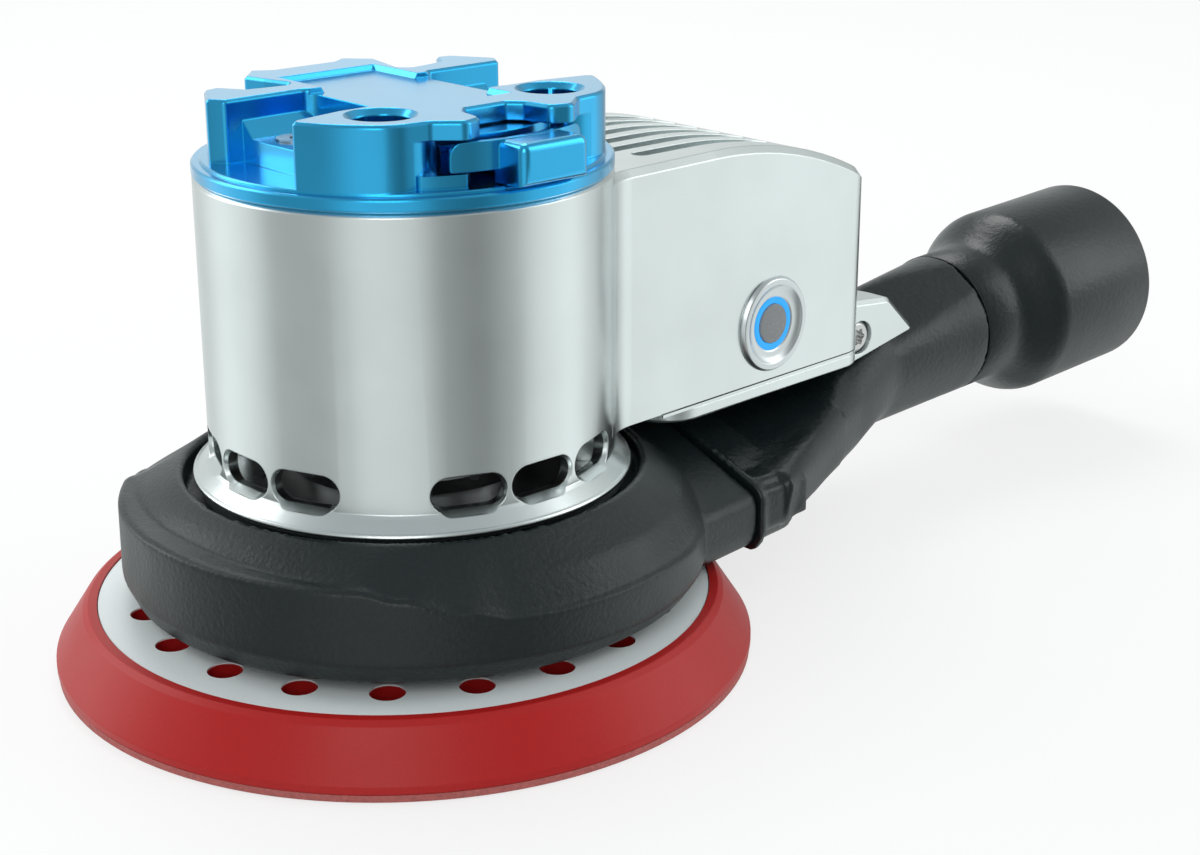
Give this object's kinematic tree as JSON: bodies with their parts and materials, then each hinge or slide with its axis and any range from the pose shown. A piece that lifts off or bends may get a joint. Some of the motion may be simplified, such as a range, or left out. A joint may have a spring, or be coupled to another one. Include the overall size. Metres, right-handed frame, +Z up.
{
  "type": "robotic sander",
  "caption": "Random-orbital sander for a robot wrist: vented motor housing with a control box, quick-change plate, dust shroud, outlet duct with swivel cuff and a round perforated pad.",
  "frame": {"origin": "centre of the motor axis on the plane of the sanding face", "axes": "+Z up the motor axis towards the robot flange, +X along the control box and the dust outlet"},
  "size_m": [0.2644, 0.125, 0.1005],
  "materials": {
    "silver_casting": "bead blasted",
    "blue_plate": "satin anodised",
    "shroud_plastic": "textured",
    "duct_plastic": "satin",
    "cuff_rubber": "matte",
    "pad_foam": "foam",
    "pad_plate": "satin",
    "hook_face": "hooked",
    "steel": "machined",
    "bearing_steel": "ground",
    "alloy": "machined",
    "laminations": "stacked",
    "copper": "enamelled wire",
    "magnet": "ground",
    "black_plastic": "satin",
    "button_grey": "satin",
    "blue_light": "clear",
    "seal": "moulded",
    "board_green": "lacquered",
    "contact": "plated"
  },
  "bodies": {
    "body": {"housing": "silver_casting", "box_bottom_cover": "silver_casting", "box_gasket": "seal", "cover_screws": "steel", "quick_change_plate": "blue_plate", "quick_change_screws": "steel", "release_spring": "steel", "button_bezel": "silver_casting", "button_light_ring": "blue_light", "button_body": "black_plastic", "button_spring": "steel", "connector_shell": "black_plastic", "connector_insert": "black_plastic", "connector_pins": "contact", "connector_nut": "steel", "control_board": "board_green", "board_standoffs": "steel", "capacitors": "black_plastic", "power_switches": "black_plastic", "stator_core": "laminations", "stator_windings": "copper", "lower_bearing_outer": "bearing_steel", "upper_bearing_outer": "bearing_steel", "bearing_wave_spring": "steel", "bearing_plate": "alloy", "bearing_plate_screws": "steel", "dust_shroud": "shroud_plastic", "shroud_screws": "steel", "dust_duct": "duct_plastic", "lug_screws": "steel", "spigot_seal": "seal"},
    "spindle": {"motor_shaft": "steel", "rotor_core": "laminations", "rotor_magnets": "magnet", "cooling_fan": "black_plastic", "fan_spacer": "steel", "eccentric_head": "alloy", "counterweight": "steel", "counterweight_screws": "steel", "lower_bearing_inner": "bearing_steel", "upper_bearing_inner": "bearing_steel", "pad_bearing_outer": "bearing_steel", "bearing_circlip": "steel"},
    "pad": {"pad_spindle": "steel", "pad_bearing_inner": "bearing_steel", "backing_plate": "pad_plate", "pad_foam": "pad_foam", "hook_face": "hook_face", "pad_screw": "steel", "pad_washer": "steel"},
    "power_button": {"power_button": "button_grey"},
    "release_button": {"release_button": "blue_plate"},
    "hose_cuff": {"hose_cuff": "cuff_rubber"}
  },
  "joints": [
    {"name": "spindle_spin", "type": "hinge", "parent": "body", "child": "spindle", "pos_m": [0, 0, 0.05], "axis": [0, 0, 1], "continuous": true},
    {"name": "pad_spin", "type": "hinge", "parent": "spindle", "child": "pad", "pos_m": [-0.0025, 0, 0.02], "axis": [0, 0, 1], "continuous": true},
    {"name": "power_press", "type": "slide", "parent": "body", "child": "power_button", "axis": [-0.052, 0.9986, 0], "range_m": [0, 0.0006], "stiffness_N_per_m": 1500, "springref_m": -0.0008},
    {"name": "release_press", "type": "slide", "parent": "body", "child": "release_button", "axis": [0, 1, 0], "range_m": [0, 0.0025], "stiffness_N_per_m": 1500, "springref_m": -0.002},
    {"name": "cuff_swivel", "type": "hinge", "parent": "body", "child": "hose_cuff", "pos_m": [0.146, 0, 0.0299], "axis": [0.9986, 0, 0.0523], "continuous": true}
  ]
}
